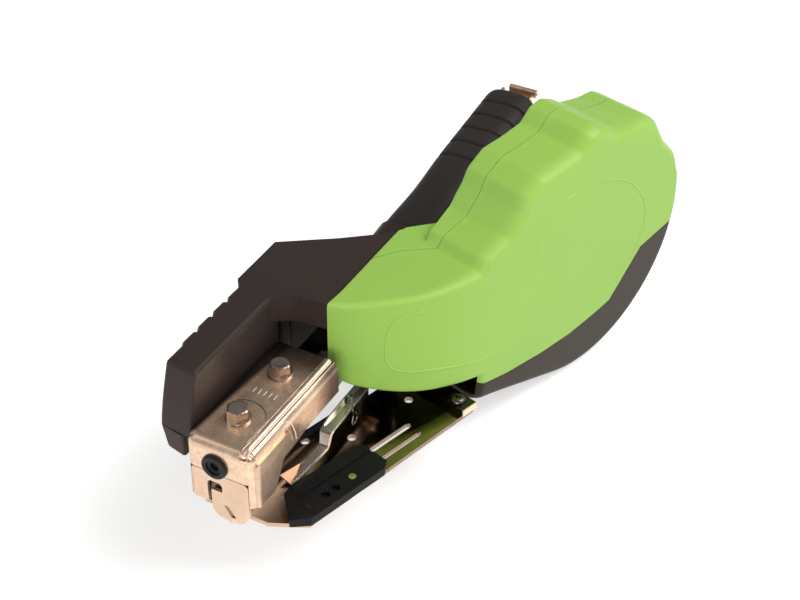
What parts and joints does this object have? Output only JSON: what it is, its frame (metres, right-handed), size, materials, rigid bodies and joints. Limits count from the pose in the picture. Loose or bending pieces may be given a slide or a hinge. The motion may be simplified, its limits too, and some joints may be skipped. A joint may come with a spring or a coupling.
{
  "type": "hammer tacker",
  "caption": "Hammer tacker with a steel staple nose, a turned base plate that guides a strip of plastic caps, a drum magazine beside the handle and a ribbed grip.",
  "frame": {"origin": "on the plane of the base plate's underside, below the middle of the nose's front face", "axes": "+X runs back from the nose towards the handle's end, +Y to the tool's left, +Z away from the work"},
  "size_m": [0.2691, 0.1228, 0.1261],
  "materials": {
    "nickel_steel": "satin",
    "dark_plate": "polished",
    "zinc_steel": "polished",
    "spring_steel": "satin",
    "black_moulding": "satin",
    "guide_moulding": "satin",
    "green_moulding": "satin",
    "grip_rubber": "matt",
    "bumper_rubber": "matt",
    "reel_moulding": "satin"
  },
  "bodies": {
    "housing": {"return_spring": "spring_steel", "pivot_pin": "zinc_steel", "driver_yoke": "spring_steel", "yoke_screws": "zinc_steel", "driver_blade": "spring_steel", "main_housing": "black_moulding", "lower_housing": "black_moulding", "housing_screws": "zinc_steel", "magazine_screws": "zinc_steel", "handle_core": "spring_steel", "handle_shell": "black_moulding", "grip_sleeve": "grip_rubber", "end_plate": "nickel_steel", "end_latch_pin": "zinc_steel", "magazine_base": "green_moulding", "magazine_lower": "black_moulding", "cover_hinge_pin": "zinc_steel", "reel_axle": "spring_steel"},
    "foot": {"nose_housing": "nickel_steel", "side_plate": "nickel_steel", "nose_plate": "nickel_steel", "nose_plug": "bumper_rubber", "nose_bolts": "zinc_steel", "nose_washers": "zinc_steel", "rail_hanger": "spring_steel", "staple_rail": "spring_steel", "pusher_rod": "zinc_steel", "pusher_spring": "spring_steel", "base_plate": "dark_plate", "side_strap": "spring_steel", "rear_bracket": "dark_plate", "bracket_screws": "zinc_steel", "cap_guide": "guide_moulding", "guide_rivets": "zinc_steel", "left_guide": "guide_moulding", "lever_post": "spring_steel", "lever_pin": "zinc_steel"},
    "lever": {"feed_lever": "nickel_steel", "lever_hook": "zinc_steel"},
    "pusher": {"staple_pusher": "spring_steel"},
    "door": {"magazine_cover": "green_moulding", "cover_lower": "black_moulding"},
    "latch": {"cover_latch": "black_moulding"},
    "reel": {"cap_reel": "reel_moulding"},
    "end_tab": {"end_latch": "nickel_steel"}
  },
  "joints": [
    {"name": "foot_swing", "type": "hinge", "parent": "housing", "child": "foot", "pos_m": [0.112, 0.0015, 0.012], "axis": [0, 1, 0], "range_deg": [0, 6], "stiffness_Nm_per_rad": 4, "springref_deg": -6.88},
    {"name": "lever_lift", "type": "hinge", "parent": "foot", "child": "lever", "pos_m": [0.09, -0.0155, 0.015], "axis": [0, 1, 0], "range_deg": [0, 6], "stiffness_Nm_per_rad": 0.1, "springref_deg": -5.73},
    {"name": "pusher_slide", "type": "slide", "parent": "foot", "child": "pusher", "axis": [-0.9919, 0, -0.1267], "range_m": [0, 0.06]},
    {"name": "door_swing", "type": "hinge", "parent": "housing", "child": "door", "pos_m": [0.25988, -0.06763, 0.04], "axis": [0, 0, 1], "range_deg": [0, 95]},
    {"name": "latch_slide", "type": "slide", "parent": "housing", "child": "latch", "axis": [0.9593, -0.2823, 0], "range_m": [0, 0.003], "stiffness_N_per_m": 200, "springref_m": -0.002},
    {"name": "reel_spin", "type": "hinge", "parent": "housing", "child": "reel", "pos_m": [0.19186, -0.05647, 0.04], "axis": [0.2823, 0.9593, 0], "continuous": true},
    {"name": "end_tab_swing", "type": "hinge", "parent": "housing", "child": "end_tab", "pos_m": [0.26397, 0.0015, 0.05589], "axis": [0, 1, 0], "range_deg": [-110, 0]}
  ]
}
